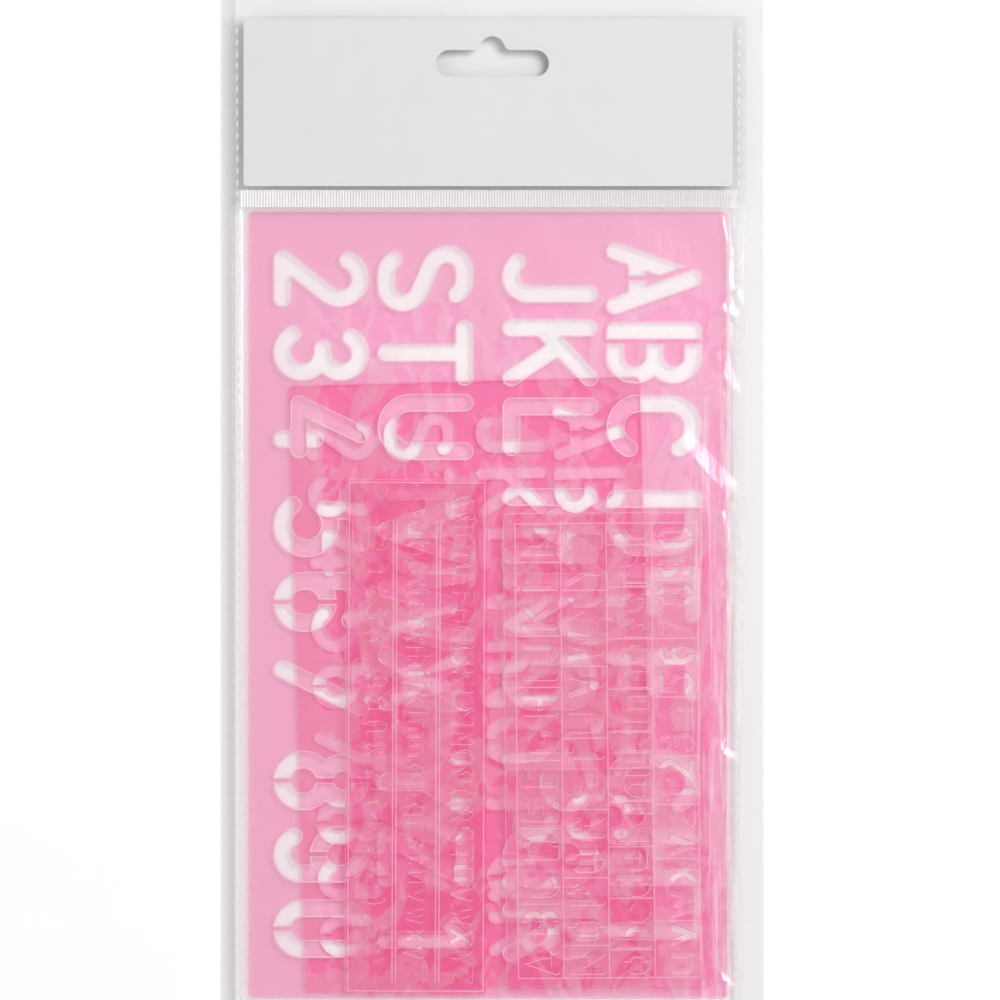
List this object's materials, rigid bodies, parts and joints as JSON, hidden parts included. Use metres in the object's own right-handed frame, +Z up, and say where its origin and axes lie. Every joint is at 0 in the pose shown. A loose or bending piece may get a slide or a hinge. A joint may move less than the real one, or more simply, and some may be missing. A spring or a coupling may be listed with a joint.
{
  "type": "lettering stencil set",
  "caption": "Translucent pink lettering stencils with cut-through letters and digits, in a clear header bag with a bare grey card, a hang slot and a ribbed seal.",
  "frame": {"origin": "middle of the bag's footprint, on the table it lies on", "axes": "+X to the right, +Y towards the header with the hang slot, +Z up out of the front of the pack"},
  "size_m": [0.1462, 0.2826, 0.0049],
  "materials": {
    "clear_film": "clear, glossy, slightly wrinkled",
    "pressed_film": "pressed, whitish",
    "grey_card": "smooth uncoated card, bare",
    "adhesive": "tacky",
    "pink_sheet": "translucent, glossy"
  },
  "bodies": {
    "bag": {"back_film": "clear_film", "front_film": "clear_film", "header_back_film": "clear_film", "header_card": "grey_card", "ribbed_seal": "pressed_film", "left_weld": "pressed_film", "right_weld": "pressed_film"},
    "flap": {"closing_flap": "clear_film", "adhesive_strip": "adhesive"},
    "medium_sheet": {"medium_stencil": "pink_sheet"},
    "large_sheet": {"large_stencil": "pink_sheet"},
    "small_sheet": {"small_stencil": "pink_sheet"},
    "mini_sheet": {"mini_stencil": "pink_sheet"}
  },
  "joints": [
    {"name": "flap_hinge", "type": "hinge", "parent": "bag", "child": "flap", "pos_m": [0, 0.08725, 0], "axis": [1, 0, 0], "range_deg": [-170, 0]},
    {"name": "medium_slide", "type": "slide", "parent": "bag", "child": "medium_sheet", "axis": [0, 1, 0], "range_m": [0, 0.21]},
    {"name": "large_slide", "type": "slide", "parent": "bag", "child": "large_sheet", "axis": [0, 1, 0], "range_m": [0, 0.214]},
    {"name": "small_slide", "type": "slide", "parent": "bag", "child": "small_sheet", "axis": [0, 1, 0], "range_m": [0, 0.211]},
    {"name": "mini_slide", "type": "slide", "parent": "bag", "child": "mini_sheet", "axis": [0, 1, 0], "range_m": [0, 0.212]}
  ]
}
